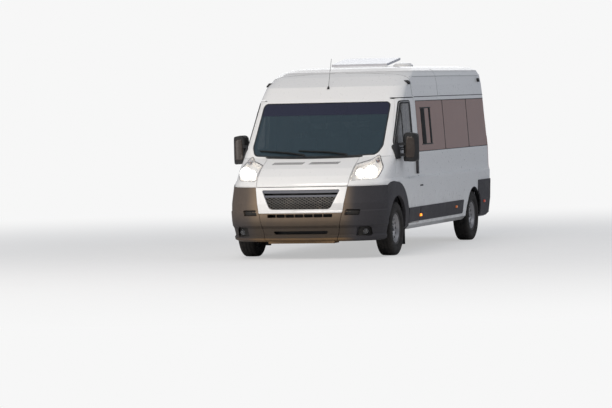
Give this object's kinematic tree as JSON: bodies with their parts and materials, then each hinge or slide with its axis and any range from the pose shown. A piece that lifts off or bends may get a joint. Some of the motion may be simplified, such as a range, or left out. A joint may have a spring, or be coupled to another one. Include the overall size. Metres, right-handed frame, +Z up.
{
  "type": "minibus",
  "caption": "High-roof passenger minibus with opening cab doors, rear doors, bonnet and roof hatch, steered front wheels and rolling tyres.",
  "frame": {"origin": "on the ground under the middle of the length", "axes": "+X towards the front, +Y towards the vehicle's left, +Z up"},
  "size_m": [5.9978, 2.4746, 2.5244],
  "materials": {
    "body_paint": "gloss white paint",
    "dark_plastic": "grained dark grey plastic",
    "black_plastic": "matt black plastic",
    "grey_plastic": "grey plastic",
    "side_glass": "tinted glass",
    "clear_glass": "lightly tinted glass",
    "lamp_lens": "clear lens over a chrome reflector",
    "red_lens": "red lens",
    "tyre_rubber": "tyre rubber",
    "wheel_silver": "silver paint",
    "dark_steel": "dark painted steel",
    "bare_alloy": "cast alloy",
    "steel": "galvanised steel",
    "seat_cloth": "dark grey seat cloth",
    "cabin_plastic": "dark grey cabin plastic",
    "floor_lining": "ribbed rubber floor"
  },
  "bodies": {
    "body": {"roof": "body_paint", "screen_frame": "body_paint", "side_panel_left": "body_paint", "side_panel_right": "body_paint", "sliding_door": "body_paint", "front_wings": "body_paint", "roof_vent": "body_paint", "grille_panel": "body_paint", "front_bumper": "dark_plastic", "side_cladding": "dark_plastic", "rear_bumper": "dark_plastic", "wheel_housings": "dark_plastic", "fuel_tank": "dark_plastic", "wipers": "black_plastic", "aerial": "black_plastic", "radiator": "black_plastic", "hatch_frame": "black_plastic", "marker_lamps": "black_plastic", "rear_hinges": "black_plastic", "grille": "grey_plastic", "side_windows": "side_glass", "windscreen": "clear_glass", "headlamps": "lamp_lens", "tail_lamps": "red_lens", "spare_wheel": "tyre_rubber", "front_subframe": "dark_steel", "rear_axle": "dark_steel", "firewall": "dark_steel", "seat_frames": "dark_steel", "engine": "bare_alloy", "exhaust": "steel", "front_seats": "seat_cloth", "passenger_seats": "seat_cloth", "dashboard": "cabin_plastic", "steering_wheel": "cabin_plastic", "floor": "floor_lining"},
    "door_left": {"door_left": "body_paint", "door_glass_left": "clear_glass", "door_panel_left": "dark_plastic", "mirror_left": "black_plastic"},
    "door_right": {"door_right": "body_paint", "door_glass_right": "clear_glass", "door_panel_right": "dark_plastic", "mirror_right": "black_plastic"},
    "rear_door_left": {"rear_door_left": "body_paint", "rear_glass_left": "side_glass"},
    "rear_door_right": {"rear_door_right": "body_paint", "rear_glass_right": "side_glass"},
    "bonnet": {"bonnet": "body_paint"},
    "hatch_lid": {"hatch_lid": "body_paint"},
    "knuckle_left": {"knuckle_left": "dark_steel"},
    "knuckle_right": {"knuckle_right": "dark_steel"},
    "front_left_wheel": {"tyre_front_left": "tyre_rubber", "wheel_front_left": "wheel_silver"},
    "front_right_wheel": {"tyre_front_right": "tyre_rubber", "wheel_front_right": "wheel_silver"},
    "rear_left_wheel": {"tyre_rear_left": "tyre_rubber", "wheel_rear_left": "wheel_silver"},
    "rear_right_wheel": {"tyre_rear_right": "tyre_rubber", "wheel_rear_right": "wheel_silver"}
  },
  "joints": [
    {"name": "door_left_hinge", "type": "hinge", "parent": "body", "child": "door_left", "pos_m": [2.06, 1.032, 1.2], "axis": [0, 0, 1], "range_deg": [-70, 0]},
    {"name": "door_right_hinge", "type": "hinge", "parent": "body", "child": "door_right", "pos_m": [2.06, -1.032, 1.2], "axis": [0, 0, 1], "range_deg": [0, 70]},
    {"name": "rear_door_left_hinge", "type": "hinge", "parent": "body", "child": "rear_door_left", "pos_m": [-2.966, 0.812, 1.2], "axis": [0, 0, 1], "range_deg": [-180, 0]},
    {"name": "rear_door_right_hinge", "type": "hinge", "parent": "body", "child": "rear_door_right", "pos_m": [-2.966, -0.812, 1.2], "axis": [0, 0, 1], "range_deg": [0, 180]},
    {"name": "bonnet_hinge", "type": "hinge", "parent": "body", "child": "bonnet", "pos_m": [2.3, 0, 1.245], "axis": [0, 1, 0], "range_deg": [-60, 0]},
    {"name": "hatch_hinge", "type": "hinge", "parent": "body", "child": "hatch_lid", "pos_m": [0.072, 0, 2.414], "axis": [0, 1, 0], "range_deg": [-6, 27.5]},
    {"name": "steer_left", "type": "hinge", "parent": "body", "child": "knuckle_left", "pos_m": [2.051, 0.72, 0.341], "axis": [0, 0, 1], "range_deg": [-35, 35]},
    {"name": "steer_right", "type": "hinge", "parent": "body", "child": "knuckle_right", "pos_m": [2.051, -0.72, 0.341], "axis": [0, 0, 1], "range_deg": [-35, 35]},
    {"name": "spin_front_left", "type": "hinge", "parent": "knuckle_left", "child": "front_left_wheel", "pos_m": [2.051, 0.91, 0.341], "axis": [0, 1, 0], "continuous": true},
    {"name": "spin_front_right", "type": "hinge", "parent": "knuckle_right", "child": "front_right_wheel", "pos_m": [2.051, -0.91, 0.341], "axis": [0, 1, 0], "continuous": true},
    {"name": "spin_rear_left", "type": "hinge", "parent": "body", "child": "rear_left_wheel", "pos_m": [-1.984, 0.895, 0.341], "axis": [0, 1, 0], "continuous": true},
    {"name": "spin_rear_right", "type": "hinge", "parent": "body", "child": "rear_right_wheel", "pos_m": [-1.984, -0.895, 0.341], "axis": [0, 1, 0], "continuous": true}
  ],
  "couplings": [
    {"joint": "steer_right", "follows": "steer_left", "ratio": 1}
  ]
}
